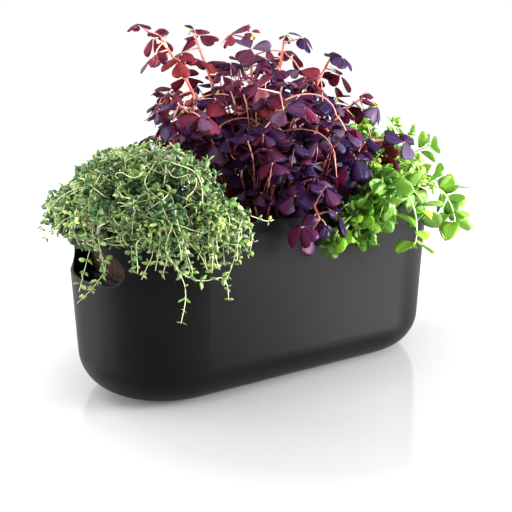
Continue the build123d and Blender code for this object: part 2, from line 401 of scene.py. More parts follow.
def wander(path, rng, size):
    """The path with slow random bends that grow away from its start."""
    t = np.linspace(0, 1, len(path))
    bends = np.zeros((len(path), 3))
    for waves in BEND_WAVES:
        phase = rng.uniform(0, FULL_TURN)
        wave = np.sin(2 * pi * waves * t + phase) - sin(phase)
        bends += np.outer(wave, rng.normal(0, 1 / waves, 3))
    return path + bends * size * t[:, None] ** BEND_ONSET


def plan_reach(points):
    """Distance in plan from the pot's middle line, and the direction out of it."""
    inner = np.clip(points[:, 0], -END_CENTRE, END_CENTRE)
    out = np.column_stack([points[:, 0] - inner, points[:, 1]])
    reach = norm(out, axis=1)
    return reach, out / np.maximum(reach, 1e-9)[:, None]


def clear_of_pot(path, gap):
    """The path, moved off the pot's wall, over its rim and out of its soil."""
    path = np.array(path, float)
    reach, out = plan_reach(path)
    outer = HALF_WIDTH + gap
    inner = SOIL_HALF_WIDTH - gap
    low = path[:, 2] < RIM + gap
    middle = (inner + outer) / 2
    beyond = low & (reach > middle) & (reach < outer)
    path[beyond, :2] += out[beyond] * (outer - reach[beyond])[:, None]
    within = low & (reach <= middle) & (reach > inner)
    path[within, :2] -= out[within] * (reach[within] - inner)[:, None]
    soil = (reach < middle) & (path[:, 2] < SOIL)
    path[soil, 2] = SOIL
    return path


def ease(path):
    """The path with its small corners smoothed out, and its ends kept."""
    for _ in range(2):
        path[1:-1] = (path[:-2] + 2 * path[1:-1] + path[2:]) / 4
    return path


def arc(base, tip, steps):
    """A stem that rises straight up and arches over to its tip, as in the frame."""
    base, tip = np.asarray(base, float), np.asarray(tip, float)
    flat = tip[:2] - base[:2]
    reach, rise = norm(flat), tip[2] - base[2]
    radius = (reach**2 + rise**2) / (2 * reach)
    turn = np.linspace(0, 2 * atan2(reach, rise), steps)
    out = np.outer(radius - radius * np.cos(turn), flat / reach)
    return np.column_stack([base[:2] + out, base[2] + radius * np.sin(turn)])


def end_heading(path):
    return unit(path[-1] - path[-2])


# Room for the herbs: what a leaf or stem keeps clear of, so that each herb lifts straight out

class Room:
    """Heights on a plan grid: how low the lifted herb hangs there, and how high its neighbours stand."""

    CELL = 3.0
    SPAN = 240.0

    def __init__(self):
        count = int(2 * self.SPAN / self.CELL)
        self.lifted_low = np.full((count, count), np.inf)
        self.fixed_top = np.full((count, count), -np.inf)

    def cells(self, points):
        index = ((points[:, :2] + self.SPAN) / self.CELL).astype(int)
        return index[:, 0], index[:, 1]

    def around(self, points):
        rows, columns = self.cells(points)
        for across in (-1, 0, 1):
            for along in (-1, 0, 1):
                yield rows + across, columns + along

    def mark_lifted(self, points):
        for cell in self.around(points):
            np.minimum.at(self.lifted_low, cell, points[:, 2])

    def mark_fixed(self, points):
        for cell in self.around(points):
            np.maximum.at(self.fixed_top, cell, points[:, 2])

    def clear_for_fixed(self, points):
        return bool((points[:, 2] < self.lifted_low[self.cells(points)]).all())

    def clear_for_lifted(self, points):
        return bool((points[:, 2] > self.fixed_top[self.cells(points)]).all())


room = Room()
LEAF_GAP = 0.4
SHORTEST_STEM = 5


def clear_of_wall(points):
    """True if the points stay off the pot's wall and out of the soil."""
    reach, _ = plan_reach(points)
    inner = SOIL_HALF_WIDTH - LEAF_GAP
    low = points[:, 2] < RIM + LEAF_GAP
    in_wall = low & (reach > inner) & (reach < HALF_WIDTH + LEAF_GAP)
    in_soil = (reach <= inner) & (points[:, 2] < SOIL)
    return not (in_wall.any() or in_soil.any())


def fixed_allowed(points):
    """True for points of a side herb that clear the pot and the path of the middle herb."""
    return clear_of_wall(points) and room.clear_for_fixed(points)


def lifted_allowed(points):
    """True for points of the middle herb that clear the pot and its neighbours."""
    return clear_of_wall(points) and room.clear_for_lifted(points)


def cut_short(path):
    """The path of a side herb, up to where it would stand in the way of the middle herb."""
    keep = [room.clear_for_fixed(point[None]) for point in path]
    return path if all(keep) else path[: keep.index(False)]


# How far a shoot's foot follows its tip from the crown: its share, and at most, in millimetres
CROWN_SHARE = 0.42
CROWN_LIMIT = np.array([34, 54])


def stem_base(herb, tip):
    """Where a shoot leaves the soil, as in the frame."""
    crown = CROWNS[herb]
    lean = np.clip((np.asarray(tip) - crown)[:2] * CROWN_SHARE, -CROWN_LIMIT, CROWN_LIMIT)
    return crown + (lean[0], lean[1], 0)


def along_path(path, spacing, first):
    """Places, directions and shares along a path, at an even spacing."""
    lengths = np.concatenate([[0], np.cumsum(norm(np.diff(path, axis=0), axis=1))])
    total = lengths[-1]
    for s in np.arange(first * total, total, spacing):
        k = min(np.searchsorted(lengths, s, "right") - 1, len(path) - 2)
        t = (s - lengths[k]) / (lengths[k + 1] - lengths[k])
        yield path[k] + (path[k + 1] - path[k]) * t, unit(path[k + 1] - path[k]), s / total


def placed(template, origin, along, face, length, width):
    """The points of a leaf template, along a direction and facing another."""
    along = unit(along)
    across = unit(np.cross(face, along))
    axes = np.array([along, across, np.cross(along, across)])
    return origin + (template[0] * (length, width, length)) @ axes


# How the leaves of a stem differ: angle in degrees, direction, facing and tone; leaves low on a stem are
# darker, painted shade inside the plant, and those near its tip lighter
ANGLE_VARIES = 14
OUT_VARIES = 0.15
FACE_VARIES = 0.25
TONE_VARIES = 0.16
PLATE_VARIES = 0.12
TUFT_SIZE = 0.6
SHADE_PIVOT = 0.8


def paired_leaves(leaves, path, rng, style, tone):
    """Pairs of leaves along a stem, each turned a quarter from the last, some with a smaller pair."""
    side = unit(np.cross(path[1] - path[0], rng.normal(size=3)))
    for point, tangent, share in along_path(path, style["spacing"], style["first"]):
        side = unit(side - tangent * np.dot(side, tangent))
        scale = 1 - (1 - style["tip"]) * share**3
        pairs = [(side, scale)]
        if rng.uniform() < style["tufts"]:
            pairs.append((np.cross(tangent, side), scale * TUFT_SIZE))
        for across, size in pairs:
            for sign in (1, -1):
                angle = radians(rng.normal(style["angle"], ANGLE_VARIES))
                out = unit(sign * across + rng.normal(0, OUT_VARIES, 3))
                along = tangent * cos(angle) + out * sin(angle) + UP * style["lift"]
                face = tangent * 0.7 + UP * 0.8 + rng.normal(0, FACE_VARIES, 3)
                length = rng.uniform(*style["length"]) * size
                width = length * rng.uniform(*style["width"])
                template = style["shapes"][rng.integers(len(style["shapes"]))]
                points = placed(template, point + unit(along) * style["stalk"], along, face, length, width)
                if fixed_allowed(points):
                    # Painted shade: leaves low on a stem, deep in the plant, are darker, and those near
                    # its tip lighter
                    shade = style["inner_shade"] * (share - SHADE_PIVOT)
                    leaves.put(template, points, tone + shade + rng.normal(0, TONE_VARIES), rng.uniform())
        side = np.cross(tangent, side)


# Faces of one plate agree in direction and, in millimetres, in level
SAME_DIRECTION = 0.9995
SAME_LEVEL = 0.15


class Plate:
    """A flat leaf of a CAD shoot: its corners, area and upward face direction, in millimetres."""

    def __init__(self, normal, offset):
        self.face = normal
        self.offset = offset
        self.corners = set()
        self.area = 0.0

    def holds(self, normal, offset):
        return np.dot(self.face, normal) > SAME_DIRECTION and abs(self.offset - offset) < SAME_LEVEL

    def points(self):
        return np.array(sorted(self.corners))

    def filled(self, spacing):
        """Points from the middle of the plate out to its corners."""
        points = self.points()
        middle = points.mean(axis=0)
        steps = int(norm(points - middle, axis=1).max() / spacing) + 1
        return np.vstack([middle + (points - middle) * share for share in np.linspace(0, 1, steps + 1)])


def leaf_plates(node, least_area):
    """The upper faces of the flat leaves in a CAD shoot."""
    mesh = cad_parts[node].data
    corners = [tuple(round(c / MM, 2) for c in v.co) for v in mesh.vertices]
    plates = []
    for polygon in mesh.polygons:
        normal = np.array(polygon.normal)
        if normal[2] <= 0:
            continue
        offset = np.dot(np.array(polygon.center) / MM, normal)
        plate = next((p for p in plates if p.holds(normal, offset)), None)
        if plate is None:
            plate = Plate(normal, offset)
            plates.append(plate)
        plate.corners.update(corners[i] for i in polygon.vertices)
        plate.area += polygon.area / MM**2
    return [plate for plate in plates if plate.area > least_area]


def plate_leaf(leaves, plate, path, rng, style, tone):
    """A leaf of a paired herb in the place of a CAD leaf plate on its stem."""
    points = plate.points()
    reach = norm(points[:, None] - path[None], axis=2).min(axis=1)
    foot, head = points[np.argmin(reach)], points[np.argmax(reach)]
    near = path[np.argmin(norm(path - foot, axis=1))]
    along = head - near
    length = norm(along) * rng.uniform(*style["share"])
    template = style["shapes"][rng.integers(len(style["shapes"]))]
    face = plate.face + rng.normal(0, PLATE_VARIES, 3)
    start = near + unit(along) * style["stalk"]
    width = length * rng.uniform(*style["width"])
    shape = placed(template, start, along, face, length - style["stalk"], width)
    if clear_of_wall(shape):
        leaves.put(template, shape, tone + rng.normal(0, PLATE_VARIES), rng.uniform())


# Thyme: a dense mat of small leaves on wiry stems, which spills over the rim

THYME_CENTRE = np.array([-105.0, 0, 140])
THYME_SIZE = {"left": 73, "right": 46, "side": 90, "height": 70, "left_fall": 0.22, "back_fall": 0.08}
THYME_SHAPES = [
    leaf_template([(0.3, 0.45), (0.68, 0.42)], 3, cup, curl, 0.0, 0.09)
    for cup in (0.15, 0.5)
    for curl in (-0.1, 0.12, 0.3)
]
THYME_STYLE = {
    "spacing": 5.2, "first": 0.34, "tip": 0.6, "angle": 62, "lift": 0.1, "tufts": 0.35,
    "length": (5.6, 9.6), "width": (0.5, 0.7), "stalk": 0.4, "inner_shade": 0.9, "shapes": THYME_SHAPES,
}
THYME_SKIRT_STYLE = {**THYME_STYLE, "first": 0.36, "spacing": 7.2}
THYME_TRAIL_STYLE = {**THYME_STYLE, "first": 0.3, "spacing": 9.5, "length": (5.5, 9.4), "tufts": 0.8}
THYME_RUNNER_STYLE = {**THYME_STYLE, "first": 0.25, "spacing": 12, "tufts": 0.6}
THYME_SPRIGS = 195
THYME_SKIRT = 110
THYME_RUNNERS = 100
# Where the skirt hangs, as shares of the half turn from the front to the back of the left end
SKIRT_FRONT = (-0.06, 0.24)
SKIRT_BACK = (0.24, 1.08)
SKIRT_FRONT_PART = 0.55
SKIRT_FRONT_RUN = 360
# Heights that the skirt hangs down to, in millimetres
SKIRT_FRONT_LOW, SKIRT_BACK_LOW, SKIRT_HIGH = 120, 130, 158
# Sprigs that hang down the wall, in millimetres
THYME_TRAILS = [
    [
        (-140, -58, 160), (-142, -88, 152), (-134, -90, 130),
        (-126, -91, 117), (-124, -91, 102), (-128, -90, 83),
    ],
    [
        (-128, -60, 160), (-140, -88, 146), (-127, -91, 122),
        (-109, -93, 112), (-92, -94, 115), (-87, -93, 96),
    ],
    [(-100, -60, 160), (-84, -94, 153), (-82, -95, 136), (-86, -95, 122), (-91, -94, 110)],
    [(-146, -52, 160), (-153, -78, 152), (-146, -82, 140), (-148, -80, 129), (-153, -76, 117)],
    [
        (-150, -28, 160), (-177, -46, 152), (-174, -52, 136),
        (-169, -58, 126), (-175, -49, 111), (-185, -29, 94),
    ],
    [
        (-150, -36, 160), (-166, -64, 158), (-158, -73, 147),
        (-145, -82, 147), (-130, -90, 145), (-116, -93, 148),
    ],
    [(-96, -58, 160), (-90, -95, 154), (-77, -95, 140), (-71, -94, 126)],
    [(-126, -60, 160), (-124, -94, 148), (-112, -94, 133), (-105, -93, 119)],
    [(-88, -64, 158), (-68, -92, 159), (-52, -94, 152), (-41, -95, 156)],
    [(-150, -30, 158), (-170, -42, 150), (-181, -42, 124), (-188, -40, 106)],
    [(-150, -6, 160), (-180, 0, 154), (-189, 0, 144), (-192, 0, 134)],
    [(-146, -10, 176), (-172, -8, 176), (-186, -6, 170), (-195, -4, 163)],
]


def thyme_dome(azimuth, lift, grow):
    """A point on the mat's rounded top."""
    flat = sqrt(max(0.0, 1 - lift * lift))
    x, y = flat * cos(azimuth), flat * sin(azimuth)
    half = THYME_SIZE["left"] if x < 0 else THYME_SIZE["right"]
    fall = 1 - THYME_SIZE["left_fall"] * max(0.0, -x) - THYME_SIZE["back_fall"] * max(0.0, y)
    height = THYME_SIZE["height"] * fall
    return THYME_CENTRE + np.array([x * half, y * THYME_SIZE["side"], lift * height]) * grow


def thyme(rng):
    draw = rng.uniform
    leaves, stems = Growth(), Growth()

    def sprig(path, style, tone, thick=0.45, bend=3.0, dim=0.9):
        """A stem that is darker at its foot, with its pairs of leaves."""
        path = cut_short(ease(clear_of_pot(wander(path, rng, bend), gap=4)))
        if len(path) < SHORTEST_STEM:
            return
        end_tone = draw(0.45, 1.05)
        stems.tube(path, (thick, 0.25), sides=5, tones=(end_tone - dim, end_tone))
        paired_leaves(leaves, path, rng, style, tone)

    # The mat
    for _ in range(THYME_SPRIGS):
        azimuth = draw(0, FULL_TURN)
        lift = draw(0.0, 1)
        tip = thyme_dome(azimuth, lift, draw(0.86, 1.06))
        base = stem_base("thyme", tip) + (rng.normal(0, 6), rng.normal(0, 8), 0)
        above = base + (tip - base) * (0.35, 0.35, 0.75) + UP * draw(4, 18)
        over = tip + (base - tip) * (0.25, 0.25, 0) + UP * draw(4, 14)
        sprig(bezier([base, above, over, tip], 18), THYME_STYLE, draw(0.1, 0.95))

    # The skirt that spills over the rim
    for _ in range(THYME_SKIRT):
        s = draw(*(SKIRT_FRONT if draw() < SKIRT_FRONT_PART else SKIRT_BACK))
        angle = radians(-90 - 180 * max(0.0, s))
        middle = np.array([-END_CENTRE - min(0.0, s) * SKIRT_FRONT_RUN, 0])
        out = np.array([cos(angle), sin(angle)])
        reach = HALF_WIDTH + draw(5, 9 + 19 * abs(out[1]))
        lowest = SKIRT_FRONT_LOW if s < SKIRT_FRONT[1] else SKIRT_BACK_LOW
        tip = np.array([*(middle + out * reach), draw(lowest, SKIRT_HIGH)])
        base = stem_base("thyme", tip)
        over = np.array([*(middle + out * (reach - draw(4, 26))), RIM + draw(10, 34)])
        beyond = np.array([*(middle + out * (reach + 5)), RIM + draw(2, 18)])
        path = bezier([base, base + UP * 30, over, beyond, tip], 20)
        sprig(path, THYME_SKIRT_STYLE, draw(0.2, 0.95), bend=5)

    # The trails down the wall
    for points in THYME_TRAILS:
        path = smooth_path([stem_base("thyme", points[0]), *points], 30)
        sprig(path, THYME_TRAIL_STYLE, draw(0.55, 0.95), thick=0.5, bend=1.6, dim=0.4)

    # Pale runners that creep over the mat
    for _ in range(THYME_RUNNERS):
        azimuth = draw(pi * 0.6, pi * 2)
        lift = draw(0.05, 0.9)
        heading = draw(0, FULL_TURN)
        swell = draw(0.98, 1.07)
        points = []
        for t in np.linspace(0, 1, 8):
            points.append(thyme_dome(azimuth, lift, swell - 0.12 * abs(2 * t - 1) ** 3))
            heading += rng.normal(0, 0.85)
            azimuth += 0.2 * cos(heading)
            lift = min(0.95, max(0.02, lift + 0.11 * sin(heading) - 0.03))
        path = smooth_path(points, 24)
        sprig(path, THYME_RUNNER_STYLE, draw(0.5, 1.0), thick=0.44, bend=4.0, dim=0.2)
    return {"leaves": leaves, "stems": stems}


# Oregano: round leaves in pairs on upright and spreading stems

OREGANO_TIPS = [
    (117, 7, 217), (139, -32, 198), (173, -34, 189), (178, -66, 142), (154, -84, 122),
    (136, 48, 196), (59, -115, 144), (104, -105, 141), (82, -114, 118), (126, -117, 131),
    (150, 66, 186), (100, 104, 168), (158, 90, 162), (176, 14, 172), (84, 44, 206),
]
OREGANO_OUTLINE = [(0.06, 0.22), (0.22, 0.43), (0.46, 0.52), (0.72, 0.45), (0.92, 0.24)]
# Cup, curl and fold of each leaf shape
OREGANO_BENDS = [
    (0.25, 0.1, 0.0), (-0.2, 0.3, 0.2), (0.1, 0.25, 0.3), (0.35, -0.08, 0.1), (-0.3, 0.2, 0.0),
]
OREGANO_SHAPES = [leaf_template(OREGANO_OUTLINE, 5, *bends, 0.05) for bends in OREGANO_BENDS]
# The least area of a CAD leaf, in square millimetres
OREGANO_PLATE = 60
OREGANO_STYLE = {
    "spacing": 10, "first": 0.38, "tip": 0.5, "angle": 66, "lift": 0.15, "tufts": 0.35,
    "length": (8, 18), "width": (0.82, 1.0), "stalk": 2.0, "inner_shade": 0.5, "share": (0.68, 0.94),
    "shapes": OREGANO_SHAPES,
}
OREGANO_TRAIL_STYLE = {
    **OREGANO_STYLE, "spacing": 11, "first": 0.3, "tip": 0.7, "length": (11, 19), "width": (0.84, 1.0),
}
OREGANO_SPRIG_STYLE = {**OREGANO_STYLE, "spacing": 11, "first": 0.45, "tip": 0.7, "length": (8, 14)}
# The young leaves at a stem's end
OREGANO_TUFT = {"spacing": 2.5, "first": 0.95, "length": (5, 9), "angle": 40}
TUFT_LIGHTER = 0.15
OREGANO_FRONT = 14
OREGANO_FILL = 100
# The rounded mass of fill shoots, in millimetres
OREGANO_MASS = {"middle": 106, "left": 46, "right": 64, "side": 86, "low": 150, "rise": (40, 68)}
# Sprigs that lean along the front of the rim and hang over it, in millimetres
OREGANO_TRAILS = [
    [(74, -80, 168), (62, -92, 166), (44, -96, 156), (26, -96, 147), (14, -94, 136), (9, -93, 120)],
    [(72, -79, 165), (58, -88, 159), (42, -88, 158), (28, -88, 156), (18, -89, 150)],
    [(74, -80, 170), (64, -92, 164), (52, -95, 148), (45, -94, 130)],
    [(80, -82, 172), (66, -97, 172), (52, -100, 160), (40, -100, 150), (32, -98, 136)],
]
# Ends of thin sprigs that stand above the others, in millimetres
OREGANO_SPRIGS = [
    (141, 6, 228), (150, 22, 222), (151, -10, 212), (158, -22, 203), (166, 4, 206), (144, 30, 214),
]


def oregano(rng):
    draw = rng.uniform
    leaves, stems = Growth(), Growth()

    def stem(path, thick):
        stems.tube(path, (thick, 0.55), sides=6, tones=draw(0.1, 0.9))

    def shoot(path, style, tone, thick):
        """A stem with its pairs of leaves and its tuft of young ones."""
        path = cut_short(ease(clear_of_pot(path, gap=5)))
        if len(path) < SHORTEST_STEM:
            return
        stem(path, thick)
        paired_leaves(leaves, path, rng, style, tone)
        paired_leaves(leaves, path, rng, {**style, **OREGANO_TUFT}, tone + TUFT_LIGHTER)

    # The shoots of the frame
    tuft = {**OREGANO_STYLE, **OREGANO_TUFT, "first": 0.94}
    for node, tip in zip(SHOOTS["oregano"], OREGANO_TIPS):
        path = arc(stem_base("oregano", tip), tip, 24)
        tone = draw(0.4, 0.85)
        stem(path, 1.2)
        for plate in leaf_plates(node, OREGANO_PLATE):
            plate_leaf(leaves, plate, path, rng, OREGANO_STYLE, tone)
        paired_leaves(leaves, path, rng, tuft, tone + TUFT_LIGHTER)

    # The trails along the front of the rim
    for points in OREGANO_TRAILS:
        path = smooth_path([stem_base("oregano", points[0]), *points], 26)
        shoot(path, OREGANO_TRAIL_STYLE, draw(0.2, 0.7), 0.9)
    for _ in range(OREGANO_FRONT):
        over = np.array([draw(66, 84), -80, draw(159, 170)])
        end = np.array([draw(8, 54), draw(-98, -90), draw(122, 154)])
        between = (over + end) / 2 + (0, draw(-10, -4), draw(6, 14))
        path = smooth_path([stem_base("oregano", over), over, between, end], 24)
        shoot(path, OREGANO_TRAIL_STYLE, draw(0.1, 0.6), 0.8)

    # Thin tall sprigs
    for tip in OREGANO_SPRIGS:
        path = wander(arc(stem_base("oregano", tip), tip, 24), rng, 2.0)
        shoot(path, OREGANO_SPRIG_STYLE, draw(0.6, 0.95), 0.8)

    # Shoots that fill in between
    for _ in range(OREGANO_FILL):
        azimuth = draw(0, FULL_TURN)
        lift = draw(0, 1)
        flat = sqrt(1 - lift * lift)
        half = OREGANO_MASS["right"] if cos(azimuth) > 0 else OREGANO_MASS["left"]
        tip = (
            OREGANO_MASS["middle"] + half * flat * cos(azimuth),
            OREGANO_MASS["side"] * flat * sin(azimuth),
            OREGANO_MASS["low"] + draw(*OREGANO_MASS["rise"]) * lift,
        )
        shoot(arc(stem_base("oregano", tip), tip, 14), OREGANO_STYLE, draw(0.3, 0.95), 0.9)
    return {"leaves": leaves, "stems": stems}


# Oxalis: three heart-shaped leaflets on each petiole, on thick red stems

OXALIS_TIPS = [
    (-84, 14, 286), (-40, 38, 288), (-14, -8, 288), (43, 24, 286), (72, -5, 269),
    (94, -24, 236), (102, -60, 202), (-92, -26, 238), (-24, -67, 247), (50, -72, 192),
    (-14, -108, 152), (30, 88, 246), (-50, 84, 238), (-8, 104, 184),
]
OXALIS_OUTLINE = [
    (0.08, 0.1), (0.24, 0.29), (0.44, 0.45), (0.64, 0.53), (0.82, 0.51), (0.94, 0.38), (1.0, 0.22),
]
# Cup, curl and fold of each leaflet shape
OXALIS_BENDS = [
    (0.1, 0.1, -0.25), (-0.2, 0.25, -0.1), (0.2, -0.05, 0.25),
    (-0.1, 0.3, -0.5), (0.1, 0.15, 0.0), (-0.3, 0.1, -0.15),
]
OXALIS_SHAPES = [leaf_template(OXALIS_OUTLINE, 5, *bends, 0.04, notch=0.24) for bends in OXALIS_BENDS]
# The least area of a CAD leaf, in square millimetres
OXALIS_PLATE = 150
# Ends of thin stalks that rise from the first shoot
OXALIS_HIGH = [(-95, 16, 293), (-100, 2, 270)]
# Leaflets, in millimetres: those on a CAD plate as shares of its own, and the others
PLATE_LEAFLET = 19
PLATE_LEAFLET_SHARES = (0.66, 0.96)
LEAFLET_LENGTHS = (10.5, 16)
LEAFLET_WIDTHS = (0.9, 1.05)
# Leaves turn from navy, painted shade low down, to maroon, painted backlight towards the top and the left
TONE_LOW, BACKLIGHT_TONE_UP, BACKLIGHT_TONE_LEFT, TONE_SPREAD = 0.12, 0.62, 0.16, 0.2
OXALIS_RISE = 140
OXALIS_SPREAD = 96
OXALIS_LOW = 120
OXALIS_ARCHES = 30
OXALIS_BESIDE = 22
OXALIS_FILL = 125
# The rounded mass of fill stalks, in millimetres
OXALIS_MASS = {"middle": 2, "side": 78, "depth": 72, "height": 190, "rise": 78}
BUD_SPACING = 34
BUD_RADII = np.array([0.2, 0.3, 0.8, 1.1, 0.9, 0.2])
LEAF_TRIES = 6
# Corners of a plate that count as the far ends of its leaflets, in millimetres from the furthest
FAR_CORNERS = 1.5


def oxalis_stem(tip):
    return arc(stem_base("oxalis", tip), tip, 22)


def leaflet_directions(plate):
    """The directions of the three leaflets of a CAD plate, from its far corners."""
    points = plate.points()
    first = unit(np.cross(plate.face, (0.2, 0.9, 0.4)))
    second = np.cross(plate.face, first)
    out = points - points.mean(axis=0)
    spans = norm(out, axis=1)
    far = out[spans > spans.max() - FAR_CORNERS]
    phase = np.angle(np.mean(np.exp(3j * np.arctan2(far @ second, far @ first)))) / 3
    turns = [phase + 2 * pi * k / 3 for k in range(3)]
    return [first * cos(turn) + second * sin(turn) for turn in turns]


def oxalis(rng):
    draw = rng.uniform
    leaves, stems, petioles, buds = Growth(), Growth(), Growth(), Growth()

    # A leaf's tone: random, with painted shade low down and painted backlight towards the top and the left
    def tone_with_painted_light(place):
        up = BACKLIGHT_TONE_UP * (place[2] - RIM) / OXALIS_RISE
        return rng.normal(TONE_LOW + up - BACKLIGHT_TONE_LEFT * place[0] / END_CENTRE, TONE_SPREAD)

    def petiole(path, radii, tones):
        petioles.tube(path, radii, sides=5, tones=draw(*tones))

    def leaflet(centre, along, face, droop, lengths, size, stalk):
        """The template and the points of a leaflet that droops from its direction."""
        along = along - face * tan(radians(rng.normal(*droop)))
        template = OXALIS_SHAPES[rng.integers(len(OXALIS_SHAPES))]
        length = draw(*lengths) * size
        width = length * draw(*LEAFLET_WIDTHS)
        return template, placed(template, centre + unit(along) * stalk, along, face, length, width)

    def put_leaflet(template, points, tone):
        leaves.put(template, points, tone + rng.normal(0, PLATE_VARIES), draw())

    def leaf(foot, heading, tone, size):
        """A petiole from its foot, and three leaflets round its end. True if there was room for it."""
        for _ in range(LEAF_TRIES):
            aim = unit(heading + rng.normal(0, 0.35, 3))
            reach = draw(9, 24) * size
            end = foot + aim * reach
            bend = foot + aim * reach * 0.5 + UP * draw(0, 5)
            face = unit(aim * 0.6 + UP * 0.9 + rng.normal(0, 0.3, 3))
            start = unit(np.cross(face, rng.normal(size=3)))
            lot = []
            for k in range(3):
                along = turned(start, face, 120 * k + rng.normal(0, 7))
                lot.append(leaflet(end, along, face, (14, 14), LEAFLET_LENGTHS, size, 0.8))
            path = bezier([foot, bend, end], 7)
            if all(lifted_allowed(points) for _, points in lot) and lifted_allowed(path):
                petiole(path, (0.75, 0.45), tones=(0.1, 0.9))
                for template, points in lot:
                    put_leaflet(template, points, tone)
                return True
        return False

    def plate_leaflets(plate, path):
        """A petiole from the stem to a CAD plate, and three leaflets in the plate's place."""
        centre = plate.points().mean(axis=0)
        tone = tone_with_painted_light(centre)
        near = path[np.argmin(norm(path - centre, axis=1))]
        bend = (near + centre) / 2 + UP * draw(-1, 4)
        petiole(bezier([near, bend, centre], 7), (0.8, 0.5), tones=(0.4, 1.0))
        for along in leaflet_directions(plate):
            template, points = leaflet(
                centre, along, plate.face, (8, 9), PLATE_LEAFLET_SHARES, PLATE_LEAFLET, 0.6
            )
            if clear_of_wall(points):
                put_leaflet(template, points, tone)

    def bud_cluster(foot, aim):
        """A few flower buds on short stalks at the end of a thin stem."""
        end = foot + aim * draw(9, 16)
        if not lifted_allowed(end[None]):
            return
        petiole(bezier([foot, (foot + end) / 2 + UP, end], 5), (0.4, 0.4), tones=(0.5, 1))
        for _ in range(rng.integers(2, 5)):
            tip = end + unit(aim + rng.normal(0, 0.7, 3)) * draw(3.5, 6)
            path = np.linspace(end, tip, len(BUD_RADII))
            buds.tube(path, BUD_RADII * draw(0.8, 1.2), sides=6, tones=draw(0, 1))

    # The shoots of the frame
    for node, tip in zip(SHOOTS["oxalis"], OXALIS_TIPS):
        path = oxalis_stem(tip)
        stems.tube(path, (2.2, 1.0), sides=8, tones=(-0.1, draw(0.6, 1.1)))
        for plate in leaf_plates(node, OXALIS_PLATE):
            plate_leaflets(plate, path)
        leaf(path[-1], end_heading(path) + UP * 0.4, tone_with_painted_light(path[-1]), 0.6)
        for point, tangent, _ in along_path(path, BUD_SPACING, 0.55):
            bud_cluster(point, unit(tangent + rng.normal(0, 0.8, 3)))

    # Thin stalks above the first shoot
    for tip in OXALIS_HIGH:
        stem = oxalis_stem(OXALIS_TIPS[0])
        path = bezier([stem[-2], stem[-1] + UP * 8, tip], 9)
        petiole(path, (0.7, 0.45), tones=(0.6, 1.0))
        # A high tone: the maroon of painted backlight at the top
        leaf(path[-1], UP, draw(0.6, 0.95), 0.7)

    # Low stalks from the soil, half of them along the front, with dark petioles and leaves: painted shade
    # under the canopy
    for k in range(OXALIS_LOW):
        back, lean = (-40, -8) if k % 2 else (62, 0)
        foot = np.array([draw(-44, 44), draw(-64, back), SOIL])
        tip = foot + (rng.normal(0, 9), rng.normal(lean, 9), draw(14, 74))
        path = bezier([foot, (foot + tip) / 2 + rng.normal(0, 4, 3), tip], 8)
        path[:, 2] = np.maximum(path[:, 2], SOIL)
        if lifted_allowed(path[1:]):
            petiole(path, (0.8, 0.5), tones=(0.0, 0.25))
            leaf(path[-1], end_heading(path), draw(-0.1, 0.5), draw(0.85, 1.1))

    # Pale petioles that arch out over the front
    for k in range(OXALIS_ARCHES):
        stem = oxalis_stem(OXALIS_TIPS[k % len(OXALIS_TIPS)])
        foot = stem[rng.integers(10, 20)]
        side = radians(draw(-165, -15))
        out = np.array([cos(side), sin(side), 0])
        reach = draw(26, 52)
        rise = UP * draw(6, 20)
        end = foot + out * reach + UP * draw(-16, 8)
        path = bezier([foot, foot + out * reach * 0.35 + rise, foot + out * reach * 0.9 + rise, end], 14)
        within = abs(end[0]) < OXALIS_SPREAD and abs(end[1]) < OXALIS_SPREAD
        if not within or not lifted_allowed(path):
            continue
        if leaf(end, end_heading(path), tone_with_painted_light(end), draw(0.8, 1.1)):
            petiole(path, (0.7, 0.45), tones=(0.4, 0.9))

    # Stalks beside the thyme
    for _ in range(OXALIS_BESIDE):
        tip = np.array([draw(-82, -50), draw(-30, 60), draw(176, 215)])
        path = arc(stem_base("oxalis", tip), tip, 12)
        if not lifted_allowed(path[1:]):
            continue
        if leaf(path[-1], end_heading(path), tone_with_painted_light(path[-1]), draw(0.9, 1.1)):
            # Dark petioles: painted shade inside the canopy
            petiole(path, (0.9, 0.5), tones=(0.05, 0.5))

    # Stalks that fill in between
    for _ in range(OXALIS_FILL):
        azimuth = draw(0, FULL_TURN)
        lift = draw(-0.1, 0.95)
        flat = sqrt(1 - lift * lift)
        far = draw(0.45, 1.0)
        tip = np.array([
            OXALIS_MASS["middle"] + OXALIS_MASS["side"] * far * flat * cos(azimuth),
            OXALIS_MASS["depth"] * far * flat * sin(azimuth),
            OXALIS_MASS["height"] + OXALIS_MASS["rise"] * far * lift,
        ])
        path = arc(stem_base("oxalis", tip), tip, 12)
        if lifted_allowed(path[1:]):
            # Dark petioles: painted shade inside the canopy
            petiole(path, (0.9, 0.5), tones=(0.05, 0.75))
            leaf(path[-1], end_heading(path) + UP * 0.3, tone_with_painted_light(path[-1]), draw(0.85, 1.1))
    return {"leaves": leaves, "stems": stems, "petioles": petioles, "buds": buds}


# Soil and wicks, in millimetres

SOIL_GRAIN = 2.4
SOIL_LUMP = 9
SOIL_CRUMB = 3.2
# How deep the soil's surface lies, and how much lumps and crumbs change it
SOIL_DEPTH, LUMP_DEPTH, CRUMB_DEPTH, LEAST_DEPTH = 1.3, 0.9, 0.8, 0.1
# A wick's strands, as shares of its radius, and their twist in degrees to a millimetre
STRAND_STARTS = (0, 120, 240)
STRAND_RADIUS = 0.46
STRAND_PLACE = 0.5
STRAND_TWIST = 14
STRAND_STEPS = 40
WICK_END_GAP = 0.1


